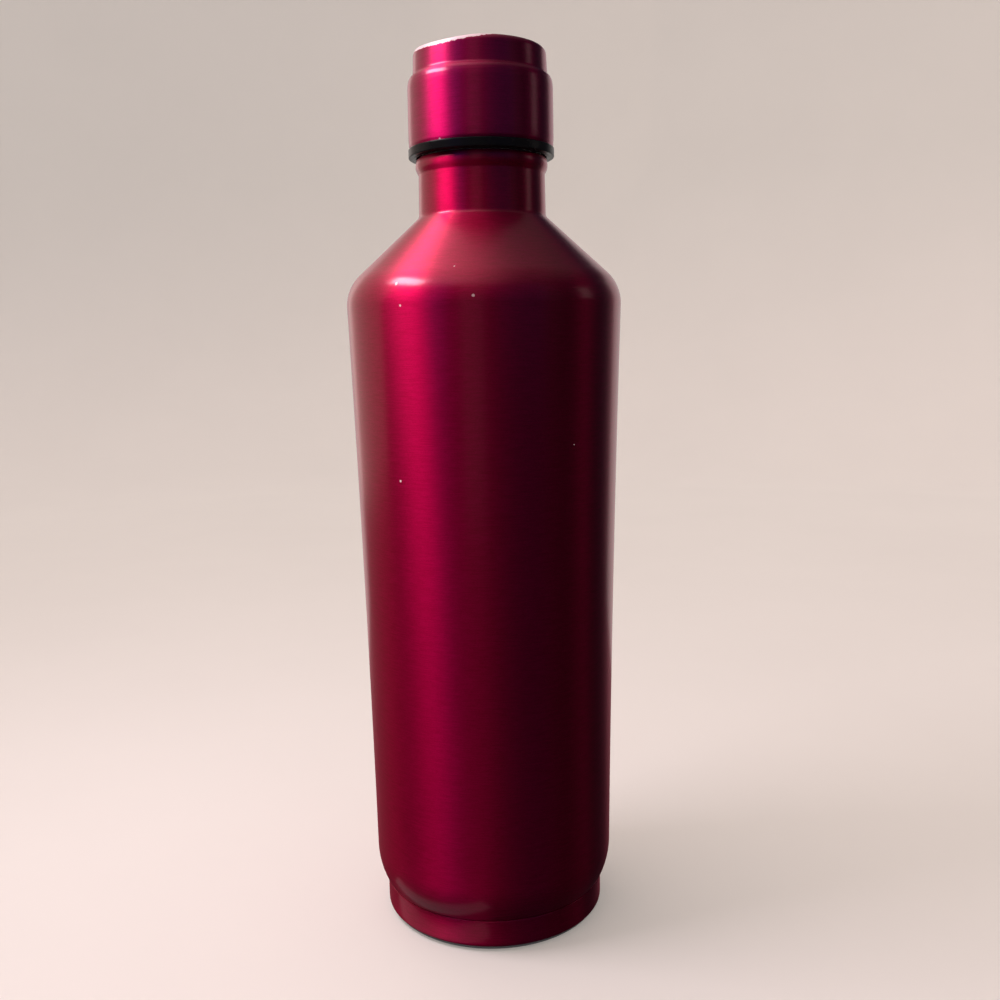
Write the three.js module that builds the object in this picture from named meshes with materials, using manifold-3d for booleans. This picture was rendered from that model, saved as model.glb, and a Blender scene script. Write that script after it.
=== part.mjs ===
// Insulated drinking bottle: a double-walled steel flask with a steel screw cap.
//
// Millimetres, +Z up. The origin is the centre of the non-slip pad's underside, so z = 0 is the
// surface that the bottle stands on, and Z is the axis of every round piece. Outlines are lists of
// [radius, height] pairs, walked upwards on the outside of a piece and downwards on its inside.

import * as THREE from 'three';
import { mergeVertices } from 'three/addons/utils/BufferGeometryUtils.js';
import Module from 'manifold-3d';

const wasm = await Module();
wasm.setup();

// ---------------------------------------------------------------- driving dimensions

const TURN = 2 * Math.PI;
const SEGMENTS = 32; // facets round the axis, the same for every large round piece
const SMALL_SEGMENTS = 16; // facets round the small pieces of the vacuum seal
const TOUCH = 0.1; // gap between two fixed pieces that touch or are welded
const RUNNING = 0.35; // gap between two pieces that slide or turn past each other

const HEIGHT = 288.5; // pad underside to cap top
const SHELL_WALL = 0.55;
const LINER_WALL = 0.5;
const VACUUM_GAP = 3.6; // between the outer shell and the liner

const BODY = {
  lowRadius: 41.05, // radius at lowHeight, where the straight side starts
  lowHeight: 30,
  taper: 0.0125, // growth of the radius per mm of height, low down
  radius: 45.05, // widest radius, where the shoulder starts
  footRound: 25, // radius of the long curve into the foot
  footRoundTop: 23.1,
  footRoundAngle: THREE.MathUtils.degToRad(27),
};
const SHOULDER = {
  round: 13.5, // radius of the curve between side and cone
  height: 208.3, // where that curve leaves the side
  slope: THREE.MathUtils.degToRad(42.5), // of the cone, from the horizontal
  stations: 5,
};
const NECK = {
  lowRadius: 20.75,
  highRadius: 20.55,
  top: 249.9,
  fillet: 2,
  // rolled bead at the top, from its slanting underside to its inner edge
  bead: [[21.3, 251.3], [21.5, 252.3], [21.47, 253.4], [21.15, 254.4], [20.4, 254.95]],
};
const MOUTH = {
  top: 273.5,
  radius: 19.7, // outside of the plain steel round the mouth, the thread's root
  boreRadius: 18.9,
  throatRadius: 18.2, // inside of the narrower throat below the thread
  collarBottom: 236, // where the collar is welded to the liner
  landBottom: 250.5, // the collar widens below this to meet the outer shell
  landTaper: 2,
};
const THREAD = {
  lead: 6, // rise in one turn, single start, right hand
  depth: 1.05,
  rootHalf: 1.1, // half widths along the axis
  crestHalf: 0.5,
  neckTurns: 1.6,
  neckStart: 258.5, // height of the middle of the neck's ridge at its lower end
  capTurns: 1.3,
  capDrop: 1.85, // how far the cap's ridge lies under the neck's ridge when closed
  runOut: THREE.MathUtils.degToRad(27), // each end of a ridge fades over this angle
};
const FOOT = {
  radius: 37.7,
  bottom: 1.6, // lower edge of the steel foot, above the table
  top: 10.7,
  wall: 0.7,
  floor: 4, // underside of the floor inside the foot
  floorWall: 0.9,
  dimpleRadius: 5.2,
  dimpleRise: 1.6,
  holeRadius: 1,
};
const CAP = {
  topRadius: 21.35,
  edgeRound: 2, // round between the top and its short side
  wall: 0.5,
  skirtRadius: 23.5,
  skirtBottom: 258.1,
  // from the skirt's top, over the rounded step, to the short upright side
  step: [[23.4, 276.4], [23.08, 278.8], [22.45, 279.8], [21.7, 280.2], [21.6, 280.9]],
  ringRadius: 23.6, // plastic ring that shows under the skirt
  ringBottom: 255.2,
  ringTop: 258,
  lipBottom: 254.95, // inner lip of that ring, close above the neck's bead
  boreRadius: 21.05, // root of the inner thread
  coreRadius: 22.3,
  plateBottom: 275.45,
  plateTop: 277.2,
};
const PLUG = { radius: 17.5, wall: 1.2, bottom: 266, discBottom: 265.2, discRadius: 16.2 };

// ---------------------------------------------------------------- finishes

const FINISH = {
  redLacquer: { color: 0x8c0f2c, roughness: 0.3, metalness: 0.9 },
  bareSteel: { color: 0xb9b9b6, roughness: 0.35, metalness: 1 },
  copper: { color: 0xb87348, roughness: 0.3, metalness: 1 },
  blackPlastic: { color: 0x121214, roughness: 0.45, metalness: 0 },
  whitePlastic: { color: 0xdcdcd6, roughness: 0.5, metalness: 0 },
  silicone: { color: 0xc9c9c4, roughness: 0.7, metalness: 0 },
  blackRubber: { color: 0x17171a, roughness: 0.85, metalness: 0 },
  foam: { color: 0xe8e2cf, roughness: 0.95, metalness: 0 },
  adhesive: { color: 0xd8cfa6, roughness: 0.6, metalness: 0 },
  getterAlloy: { color: 0x6d6f72, roughness: 0.7, metalness: 0.8 },
  sealGlass: { color: 0x8f9aa3, roughness: 0.2, metalness: 0 },
};

// ---------------------------------------------------------------- shared geometry

/** Points on a circle in the outline plane, from one angle to another, both included. */
function arc([centreRadius, centreHeight], radius, from, to, steps) {
  return Array.from({ length: steps + 1 }, (_, i) => {
    const angle = from + ((to - from) * i) / steps;
    return [centreRadius + radius * Math.cos(angle), centreHeight + radius * Math.sin(angle)];
  });
}

/** A solid of revolution about Z. An outline that isn't on the axis at both ends is closed. */
function revolve(outline, segments = SEGMENTS) {
  const closes = outline[0][0] > 0 || outline.at(-1)[0] > 0;
  const loop = closes ? [...outline, outline[0]] : outline;
  const points = loop.map(([radius, height]) => new THREE.Vector2(radius, height));
  return new THREE.LatheGeometry(points, segments).rotateX(Math.PI / 2);
}

/** Turns a closed geometry into a solid that can be joined and cut. */
function toSolid(geometry) {
  geometry.deleteAttribute('normal');
  geometry.deleteAttribute('uv');
  const merged = mergeVertices(geometry);
  return new wasm.Manifold(new wasm.Mesh({
    numProp: 3,
    vertProperties: new Float32Array(merged.attributes.position.array),
    triVerts: new Uint32Array(merged.index.array),
  }));
}

/** Turns a solid back into a geometry. */
function fromSolid(solid) {
  const mesh = solid.getMesh();
  const geometry = new THREE.BufferGeometry();
  geometry.setAttribute('position', new THREE.BufferAttribute(mesh.vertProperties, 3));
  geometry.setIndex(new THREE.BufferAttribute(mesh.triVerts, 1));
  geometry.computeVertexNormals();
  return geometry;
}

/** A named piece with a finish of its own. */
function piece(name, geometry, finish) {
  const mesh = new THREE.Mesh(geometry, new THREE.MeshStandardMaterial(FINISH[finish]));
  mesh.name = name;
  return mesh;
}

/**
 * A right-hand thread ridge: a straight bar of the thread's section, wound round the axis.
 * The bar's X is the radius, its Y the height and its Z the angle, counted back from the end.
 */
function threadRidge({ root, crest, rootHalf, crestHalf, turns, startHeight }) {
  const buried = root - 0.3 * Math.sign(crest - root); // the foot of the ridge, inside the wall
  const section = new THREE.Shape([
    new THREE.Vector2(buried, -rootHalf),
    new THREE.Vector2(crest, -crestHalf),
    new THREE.Vector2(crest, crestHalf),
    new THREE.Vector2(buried, rootHalf),
  ]);
  const sweep = turns * TURN;
  const steps = Math.round(turns * SEGMENTS);
  const bar = new THREE.ExtrudeGeometry(section, { depth: sweep, steps, bevelEnabled: false });
  const position = bar.attributes.position;
  for (let i = 0; i < position.count; i += 1) {
    const angle = sweep - position.getZ(i);
    const toEnd = Math.min(angle, sweep - angle);
    const full = THREE.MathUtils.clamp(toEnd / THREAD.runOut, 0.4, 1);
    const radius = buried + (position.getX(i) - buried) * full;
    const height = startHeight + position.getY(i) + (THREAD.lead * angle) / TURN;
    position.setXYZ(i, radius * Math.cos(angle), radius * Math.sin(angle), height);
  }
  return bar;
}

// ---------------------------------------------------------------- the flask's outlines

/** Radius of the painted side at a height between the foot curve and the shoulder. */
function bodyRadius(height) {
  const span = SHOULDER.height - BODY.lowHeight;
  const flare = (BODY.radius - BODY.lowRadius - BODY.taper * span) / span ** 2;
  const rise = height - BODY.lowHeight;
  return BODY.lowRadius + BODY.taper * rise + flare * rise ** 2;
}

/** The side of a wall that lies inset mm inside the painted surface, at evenly spaced heights. */
function sideOutline(inset, from, to, steps) {
  return Array.from({ length: steps + 1 }, (_, i) => {
    const height = from + ((to - from) * i) / steps;
    return [bodyRadius(height) - inset, height];
  });
}

/** Shoulder curve, cone and neck fillet of a wall that lies inset mm inside the painted surface. */
function shoulderOutline(inset, neckRadius, fillet) {
  const centre = [BODY.radius - SHOULDER.round, SHOULDER.height];
  const lean = Math.PI / 2 - SHOULDER.slope; // direction of the cone's outward normal
  const curve = arc(centre, SHOULDER.round - inset, 0, lean, SHOULDER.stations);
  const [coneRadius, coneHeight] = curve.at(-1);
  const touchRadius = neckRadius + fillet * (1 - Math.cos(lean));
  const touchHeight = coneHeight + (coneRadius - touchRadius) * Math.tan(SHOULDER.slope);
  const filletCentre = [neckRadius + fillet, touchHeight + fillet * Math.sin(lean)];
  return [...curve, ...arc(filletCentre, fillet, Math.PI + lean, Math.PI, 2)];
}

/** The long curve from the foot's notch up to the side, inset mm inside the painted surface. */
function footOutline(inset) {
  const centre = [bodyRadius(BODY.footRoundTop) - BODY.footRound, BODY.footRoundTop];
  return arc(centre, BODY.footRound - inset, -BODY.footRoundAngle, 0, 4);
}

// ---------------------------------------------------------------- the flask

const SIDE_STEPS = 5;
const SIDE_BOTTOM = 34;
const SIDE_TOP = 196;
const LINER_INSET = SHELL_WALL + VACUUM_GAP;
const LINER_BOTTOM = 24; // where the liner's wall is welded to its bottom

/** Painted outer shell: foot curve, side, shoulder, neck and the rolled bead at its top. */
function outerShell() {
  const curlRadius = 36.8; // the shell's lower edge turns in to this radius
  const curlBottom = FOOT.top + TOUCH;
  const beadTop = NECK.bead.at(-1)[1];
  const innerNeck = NECK.highRadius - SHELL_WALL;
  const outside = [
    [curlRadius, curlBottom],
    [37.4, curlBottom],
    ...footOutline(0),
    ...sideOutline(0, SIDE_BOTTOM, SIDE_TOP, SIDE_STEPS),
    ...shoulderOutline(0, NECK.lowRadius, NECK.fillet),
    [NECK.highRadius, NECK.top],
    ...NECK.bead,
  ];
  const inside = [
    ...footOutline(SHELL_WALL),
    ...sideOutline(SHELL_WALL, SIDE_BOTTOM, SIDE_TOP, SIDE_STEPS),
    ...shoulderOutline(SHELL_WALL, innerNeck, NECK.fillet + SHELL_WALL),
    [innerNeck, beadTop],
  ];
  return revolve([...outside, ...inside.reverse()]);
}

/** Steel liner, open at both ends: side, shoulder and the start of the throat. */
function innerLiner() {
  const { throatRadius, collarBottom } = MOUTH;
  const inset = LINER_INSET + LINER_WALL;
  const weld = collarBottom - TOUCH;
  const outside = [
    ...sideOutline(LINER_INSET, LINER_BOTTOM, SIDE_TOP, SIDE_STEPS),
    ...shoulderOutline(LINER_INSET, throatRadius + LINER_WALL, NECK.fillet),
    [throatRadius + LINER_WALL, weld],
  ];
  const inside = [
    ...sideOutline(inset, LINER_BOTTOM, SIDE_TOP, SIDE_STEPS),
    ...shoulderOutline(inset, throatRadius, NECK.fillet + LINER_WALL),
    [throatRadius, weld],
  ];
  return revolve([...outside, ...inside.reverse()]);
}

/** Steel collar: throat, rolled screw thread and the lip of the mouth. */
function mouthCollar() {
  const { top, radius, boreRadius, throatRadius, collarBottom, landBottom, landTaper } = MOUTH;
  const lip = 0.35; // rounding of the lip's two edges
  const wall = toSolid(revolve([
    [throatRadius + LINER_WALL, collarBottom],
    [throatRadius + LINER_WALL, landBottom - landTaper],
    [radius, landBottom],
    [radius, top - lip],
    [radius - lip, top],
    [boreRadius + lip, top],
    [boreRadius, top - lip],
    [boreRadius, landBottom],
    [throatRadius, landBottom - landTaper],
    [throatRadius, collarBottom],
  ]));
  const ridge = threadRidge({
    root: radius,
    crest: radius + THREAD.depth,
    rootHalf: THREAD.rootHalf,
    crestHalf: THREAD.crestHalf,
    turns: THREAD.neckTurns,
    startHeight: THREAD.neckStart,
  });
  const groove = threadRidge({
    root: boreRadius,
    crest: boreRadius + 0.65 * THREAD.depth,
    rootHalf: 0.7 * THREAD.rootHalf,
    crestHalf: 0.7 * THREAD.crestHalf,
    turns: THREAD.neckTurns,
    startHeight: THREAD.neckStart,
  });
  return fromSolid(wall.add(toSolid(ridge)).subtract(toSolid(groove)));
}

/** Dished disc that closes the liner. */
function linerBottom() {
  const rim = bodyRadius(LINER_BOTTOM) - LINER_INSET;
  const round = 6.5;
  const centre = [rim - round, LINER_BOTTOM - TOUCH];
  const under = arc(centre, round, -Math.PI / 2, 0, 4);
  const over = arc(centre, round - LINER_WALL, -Math.PI / 2, 0, 4);
  return revolve([[0, under[0][1]], ...under, ...over.reverse(), [0, over.at(-1)[1]]]);
}

/** Copper foil wrapped round the liner's side, which turns heat back. */
function copperFoil() {
  const thickness = 0.15;
  const outer = LINER_INSET - RUNNING - thickness;
  const outside = sideOutline(outer, SIDE_BOTTOM, SIDE_TOP, SIDE_STEPS);
  const inside = sideOutline(outer + thickness, SIDE_BOTTOM, SIDE_TOP, SIDE_STEPS);
  return revolve([...outside, ...inside.reverse()]);
}

// ---------------------------------------------------------------- the base

/** Steel base: the visible foot ring and the floor with the hole that the air was drawn from. */
function outerBase() {
  const { radius, bottom, top, wall, floor, floorWall, dimpleRadius, dimpleRise, holeRadius } = FOOT;
  const floorTop = floor + floorWall;
  const skirtInside = radius - wall;
  return revolve([
    [holeRadius, floor + dimpleRise],
    [dimpleRadius, floor + dimpleRise],
    [dimpleRadius + 0.8, floor],
    [skirtInside - 0.2, floor],
    [skirtInside - 0.2, bottom],
    [radius - 0.6, bottom],
    [radius - 0.15, bottom + 0.5],
    [radius, bottom + 1.3],
    [radius, top - 0.6],
    [radius - 0.4, top],
    [skirtInside, top],
    [skirtInside, floorTop],
    [dimpleRadius + 1.4, floorTop],
    [dimpleRadius + 0.6, floorTop + dimpleRise],
    [holeRadius, floorTop + dimpleRise],
  ]);
}

/** Glass bead melted into the hole in the base, which keeps the vacuum. */
function exhaustBead() {
  const ceiling = FOOT.floor + FOOT.dimpleRise - TOUCH;
  const stem = FOOT.holeRadius - TOUCH;
  return revolve([
    [0, ceiling - 0.9],
    [1.4, ceiling - 0.75],
    [2.5, ceiling - 0.3],
    [2.5, ceiling],
    [stem, ceiling],
    [stem, ceiling + FOOT.floorWall],
    [0, ceiling + FOOT.floorWall],
  ], SMALL_SEGMENTS);
}

const COVER_BOTTOM = 2.9;
const ADHESIVE_BOTTOM = 2.5;

/** Thin steel plate pressed into the foot over the bead. */
function baseCover() {
  const radius = FOOT.radius - FOOT.wall - 0.5;
  return revolve([
    [0, COVER_BOTTOM],
    [radius - 0.5, COVER_BOTTOM],
    [radius, COVER_BOTTOM + 0.4],
    [radius, FOOT.floor - TOUCH],
    [radius - 0.6, FOOT.floor - TOUCH],
    [radius - 0.9, COVER_BOTTOM + 0.6],
    [0, COVER_BOTTOM + 0.6],
  ]);
}

/** Double-sided adhesive disc between the cover plate and the pad. */
function baseAdhesive() {
  const radius = FOOT.radius - FOOT.wall - 2.4;
  return revolve([
    [0, ADHESIVE_BOTTOM],
    [radius, ADHESIVE_BOTTOM],
    [radius, COVER_BOTTOM],
    [0, COVER_BOTTOM],
  ]);
}

/** Rubber pad that the bottle stands on. */
function nonSlipPad() {
  const radius = FOOT.radius - FOOT.wall - 0.6;
  return revolve([
    [0, 0],
    [radius - 0.7, 0],
    [radius, 0.6],
    [radius, ADHESIVE_BOTTOM],
    [0, ADHESIVE_BOTTOM],
  ]);
}

const GETTER = { offset: 19, radius: 4, height: 2.6, strap: 0.5, width: 5 };
const VACUUM_FLOOR = FOOT.floor + FOOT.floorWall;

/** Getter pill, which takes up the last gas in the vacuum. */
function getterPill() {
  const { offset, radius, height } = GETTER;
  return new THREE.CylinderGeometry(radius, radius, height, SMALL_SEGMENTS)
    .rotateX(Math.PI / 2)
    .translate(offset, 0, VACUUM_FLOOR + TOUCH + height / 2);
}

/** Hat-shaped steel strap, spot-welded to the floor, which holds the pill. */
function getterStrap() {
  const { offset, radius, height, strap, width } = GETTER;
  const inside = radius + RUNNING;
  const outside = inside + strap;
  const foot = outside + 3;
  const low = VACUUM_FLOOR + TOUCH;
  const ceiling = low + height + RUNNING;
  const hat = new THREE.Shape([
    [-foot, low], [-inside, low], [-inside, ceiling], [inside, ceiling], [inside, low], [foot, low],
    [foot, low + strap], [outside, low + strap], [outside, ceiling + strap],
    [-outside, ceiling + strap], [-outside, low + strap], [-foot, low + strap],
  ].map(([x, y]) => new THREE.Vector2(x, y)));
  return new THREE.ExtrudeGeometry(hat, { depth: width, bevelEnabled: false })
    .translate(0, 0, -width / 2)
    .rotateX(Math.PI / 2)
    .rotateZ(Math.PI / 2)
    .translate(offset, 0, 0);
}

// ---------------------------------------------------------------- the cap

/**
 * Side of the cap from the skirt's lower edge to the top, inset mm inside the painted surface:
 * the rolled-in edge, the upright skirt, the sloping step and the round at the top.
 */
function capOutline(inset) {
  const { topRadius, edgeRound, skirtRadius, skirtBottom, step } = CAP;
  const lift = 0.4 * inset; // the inner faces of the step lie lower by this much
  const edgeCentre = [topRadius - edgeRound, HEIGHT - edgeRound];
  return [
    [skirtRadius - 0.5 - 0.7 * inset, skirtBottom],
    [skirtRadius - 0.15 - inset, skirtBottom + 0.9],
    [skirtRadius - inset, skirtBottom + 2.9],
    ...step.map(([radius, height]) => [radius - inset, height - lift]),
    ...arc(edgeCentre, edgeRound - inset, 0, Math.PI / 2, 4),
    [0, HEIGHT - inset],
  ];
}

/** Painted steel cap: flat top, short upright side, sloping step and long skirt. */
function capShell() {
  return revolve([...capOutline(CAP.wall).reverse(), ...capOutline(0)]);
}

/** Plastic core of the cap: ring under the skirt, threaded wall and the plate across the top. */
function capCore() {
  const { ringRadius, ringBottom, ringTop, lipBottom, boreRadius } = CAP;
  const { coreRadius, plateBottom, plateTop } = CAP;
  const body = revolve([
    [0, plateBottom],
    [boreRadius - 0.45, plateBottom],
    [boreRadius, plateBottom - 0.45],
    [boreRadius, lipBottom + 0.25],
    [boreRadius + 0.25, lipBottom],
    [boreRadius + 0.85, lipBottom],
    [boreRadius + 1, ringBottom],
    [ringRadius - 0.3, ringBottom],
    [ringRadius, ringBottom + 0.4],
    [ringRadius, ringTop - 0.3],
    [ringRadius - 0.2, ringTop],
    [coreRadius, ringTop],
    [coreRadius, plateTop - 0.6],
    [coreRadius - 0.5, plateTop],
    [0, plateTop],
  ]);
  const ridge = threadRidge({
    root: boreRadius,
    crest: boreRadius - THREAD.depth,
    rootHalf: THREAD.rootHalf,
    crestHalf: THREAD.crestHalf,
    turns: THREAD.capTurns,
    startHeight: THREAD.neckStart - THREAD.capDrop + THREAD.lead * 0.25,
  });
  ridge.rotateZ(TURN * 0.25); // the lowest turn starts a quarter turn up the same helix
  return fromSolid(toSolid(body).add(toSolid(ridge)));
}

/** Insulating foam in the head of the cap, above the plate. */
function capFoam() {
  const low = CAP.plateTop + TOUCH;
  const inset = CAP.wall + RUNNING;
  const side = capOutline(inset).filter(([, height]) => height > low);
  return revolve([[0, low], [side[0][0], low], ...side]);
}

/** Bead of adhesive that fixes the steel skirt to the plastic core. */
function capBond() {
  const inside = CAP.coreRadius + 0.05;
  const outside = inside + 0.3;
  const low = CAP.ringTop + 4;
  const high = low + 10;
  return revolve([[inside, low], [outside, low], [outside, high], [inside, high]]);
}

/** Hollow plug that reaches into the mouth. */
function plugCup() {
  const { radius, wall, bottom } = PLUG;
  const top = CAP.plateBottom - 0.05;
  return revolve([
    [0, bottom],
    [radius - 0.6, bottom],
    [radius, bottom + 0.6],
    [radius, top],
    [radius - wall, top],
    [radius - wall, bottom + wall],
    [0, bottom + wall],
  ]);
}

/** Foam puck inside the plug. */
function plugFoam() {
  const radius = PLUG.radius - PLUG.wall - 0.2;
  const low = PLUG.bottom + PLUG.wall + TOUCH;
  const high = CAP.plateBottom - 0.5;
  return revolve([[0, low], [radius, low], [radius, high], [0, high]]);
}

/** Steel disc on the plug's underside, so that the drink meets only steel. */
function plugDisc() {
  const { discRadius, discBottom, bottom } = PLUG;
  return revolve([
    [0, discBottom],
    [discRadius - 0.5, discBottom],
    [discRadius, discBottom + 0.35],
    [discRadius, bottom - 0.05],
    [0, bottom - 0.05],
  ]);
}

/** Silicone ring that the cap presses on the lip. */
function gasket() {
  const inner = PLUG.radius + 0.25;
  const outer = 20.4;
  const low = MOUTH.top + 0.15;
  const high = CAP.plateBottom - 0.15;
  const edge = 0.45;
  return revolve([
    [inner + edge, low],
    [outer - edge, low],
    [outer, low + edge],
    [outer, high - edge],
    [outer - edge, high],
    [inner + edge, high],
    [inner, high - edge],
    [inner, low + edge],
  ]);
}

// ---------------------------------------------------------------- assembly

const flask = new THREE.Group();
flask.add(
  piece('outer_shell', outerShell(), 'redLacquer'),
  piece('inner_liner', innerLiner(), 'bareSteel'),
  piece('mouth_collar', mouthCollar(), 'bareSteel'),
  piece('liner_bottom', linerBottom(), 'bareSteel'),
  piece('copper_foil', copperFoil(), 'copper'),
  piece('getter_pill', getterPill(), 'getterAlloy'),
  piece('getter_strap', getterStrap(), 'bareSteel'),
);

const base = new THREE.Group();
base.add(
  piece('outer_base', outerBase(), 'redLacquer'),
  piece('exhaust_bead', exhaustBead(), 'sealGlass'),
  piece('base_cover', baseCover(), 'bareSteel'),
  piece('base_adhesive', baseAdhesive(), 'adhesive'),
  piece('non_slip_pad', nonSlipPad(), 'blackRubber'),
);

const cap = new THREE.Group();
cap.add(
  piece('cap_shell', capShell(), 'redLacquer'),
  piece('cap_core', capCore(), 'blackPlastic'),
  piece('cap_foam', capFoam(), 'foam'),
  piece('cap_bond', capBond(), 'adhesive'),
  piece('plug_cup', plugCup(), 'whitePlastic'),
  piece('plug_foam', plugFoam(), 'foam'),
  piece('plug_disc', plugDisc(), 'bareSteel'),
  piece('gasket', gasket(), 'silicone'),
);

const bottle = new THREE.Group();
bottle.add(flask, base, cap);

export default bottle;
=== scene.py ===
"""Insulated steel water bottle with a screw cap: its visible pieces, their finishes and a plain studio.

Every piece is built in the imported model's own frame: the bottle stands on z = 0 and Z is its axis.
Sizes are in millimetres in the dataclasses and become metres when a mesh is made. Outlines are lists
of (radius, height) pairs. Azimuths are measured from the front, -Y, towards +X.
"""

import logging
import math
from dataclasses import dataclass
from enum import Enum
from typing import Union

import bmesh
import bpy
from mathutils import Matrix, Vector


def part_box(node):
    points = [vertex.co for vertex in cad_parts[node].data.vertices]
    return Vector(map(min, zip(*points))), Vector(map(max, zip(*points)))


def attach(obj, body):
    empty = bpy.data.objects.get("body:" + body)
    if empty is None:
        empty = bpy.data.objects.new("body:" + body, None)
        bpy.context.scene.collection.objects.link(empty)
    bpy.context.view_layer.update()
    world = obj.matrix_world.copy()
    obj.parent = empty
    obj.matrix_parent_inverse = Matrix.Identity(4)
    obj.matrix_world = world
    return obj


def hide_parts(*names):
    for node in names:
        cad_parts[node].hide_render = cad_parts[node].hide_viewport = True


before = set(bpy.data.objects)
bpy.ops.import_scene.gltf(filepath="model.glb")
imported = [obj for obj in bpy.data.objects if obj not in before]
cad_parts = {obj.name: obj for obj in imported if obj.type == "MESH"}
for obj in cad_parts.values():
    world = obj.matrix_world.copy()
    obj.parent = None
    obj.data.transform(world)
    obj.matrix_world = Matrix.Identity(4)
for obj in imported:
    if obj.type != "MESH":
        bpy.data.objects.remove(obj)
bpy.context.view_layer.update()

LOG = logging.getLogger("bottle")
MM = 0.001  # a millimetre, in metres
PER_METRE = 1000  # millimetres in a metre
TURN = 2 * math.pi
THREAD_LEAD = 6.0
THREAD_DEPTH = 1.05
Point = tuple[float, float]
Outline = list[Point]
Colour = tuple[float, float, float]


# ------------------------------------------------------------------ outlines and meshes


def arc(centre: Point, radius: float, start: float, end: float, steps: int = 8) -> Outline:
    """Points on a circle in the outline plane.

    Args:
        centre: The circle's centre.
        radius: Its radius, in millimetres.
        start: First angle, in degrees from the outward direction, positive upwards.
        end: Last angle, in degrees.
        steps: How many chords the arc has.

    Returns:
        steps + 1 points, both ends included.
    """
    angles = [math.radians(start + (end - start) * i / steps) for i in range(steps + 1)]
    return [(centre[0] + radius * math.cos(a), centre[1] + radius * math.sin(a)) for a in angles]


def rounded(outline: Outline, radius: float, steps: int = 4) -> Outline:
    """Rounds every corner of an outline between its two ends.

    Args:
        outline: Corner points.
        radius: Rounding radius, made smaller where a side is too short for it.
        steps: How many chords each rounded corner has.

    Returns:
        The outline with each inner corner replaced by a short curve.
    """
    curved = [outline[0]]
    for before, corner, after in zip(outline, outline[1:], outline[2:]):
        here, back, ahead = Vector(corner), Vector(before), Vector(after)
        reach = min(radius, 0.45 * (back - here).length, 0.45 * (ahead - here).length)
        start = here + (back - here).normalized() * reach
        end = here + (ahead - here).normalized() * reach
        for i in range(steps + 1):
            t = i / steps
            point = start * (1 - t) ** 2 + here * 2 * t * (1 - t) + end * t**2
            curved.append((point.x, point.y))
    return curved + [outline[-1]]


def supported(outline: Outline, reach: float = 0.25) -> Outline:
    """Adds a point near both ends of every long side, so that smooth shading bends only at corners.

    Args:
        outline: The outline to add to.
        reach: How far from its corner each new point lies, in millimetres.

    Returns:
        The outline with its new points.
    """
    held = [outline[0]]
    for start, end in zip(outline, outline[1:]):
        side = Vector(end) - Vector(start)
        if side.length > 4 * reach:
            inset = side.normalized() * reach
            held += [tuple(Vector(start) + inset), tuple(Vector(end) - inset)]
        held.append(end)
    return held


def laddered(outline: Outline, step: float = 1.5) -> Outline:
    """Divides every upright side into short ones, so that a thread fused to it disturbs little.

    Args:
        outline: The outline to divide.
        step: About how long each piece of an upright side is, in millimetres.

    Returns:
        The outline with its new points.
    """
    rungs = [outline[0]]
    for start, end in zip(outline, outline[1:]):
        upright = abs(end[0] - start[0]) < 0.05
        count = max(1, round(abs(end[1] - start[1]) / step)) if upright else 1
        low, reach = Vector(start), Vector(end) - Vector(start)
        rungs += [tuple(low + reach * i / count) for i in range(1, count + 1)]
    return rungs


class Form(Enum):
    """How an outline is closed before it is turned round the axis."""

    ON_AXIS = "both ends lie on the axis"
    RING = "the last point joins the first"


def turned(outline: Outline, form: Form, steps: int = 160) -> bmesh.types.BMesh:
    """Turns an outline round Z into a closed solid.

    Args:
        outline: (radius, height) points, in millimetres.
        form: Whether the outline ends on the axis or closes on itself.
        steps: Facets round the axis.

    Returns:
        A closed mesh in metres with its faces pointing out.
    """
    bm = bmesh.new()
    points = supported(outline)
    verts = [bm.verts.new((0.0, -radius * MM, height * MM)) for radius, height in points]
    edges = [bm.edges.new(pair) for pair in zip(verts, verts[1:])]
    if form is Form.RING:
        edges.append(bm.edges.new((verts[-1], verts[0])))
    bmesh.ops.spin(
        bm, geom=verts + edges, cent=(0, 0, 0), axis=(0, 0, 1), angle=TURN, steps=steps, use_merge=True
    )
    bmesh.ops.remove_doubles(bm, verts=bm.verts, dist=1e-7)
    bmesh.ops.recalc_face_normals(bm, faces=bm.faces)
    return bm


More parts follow.
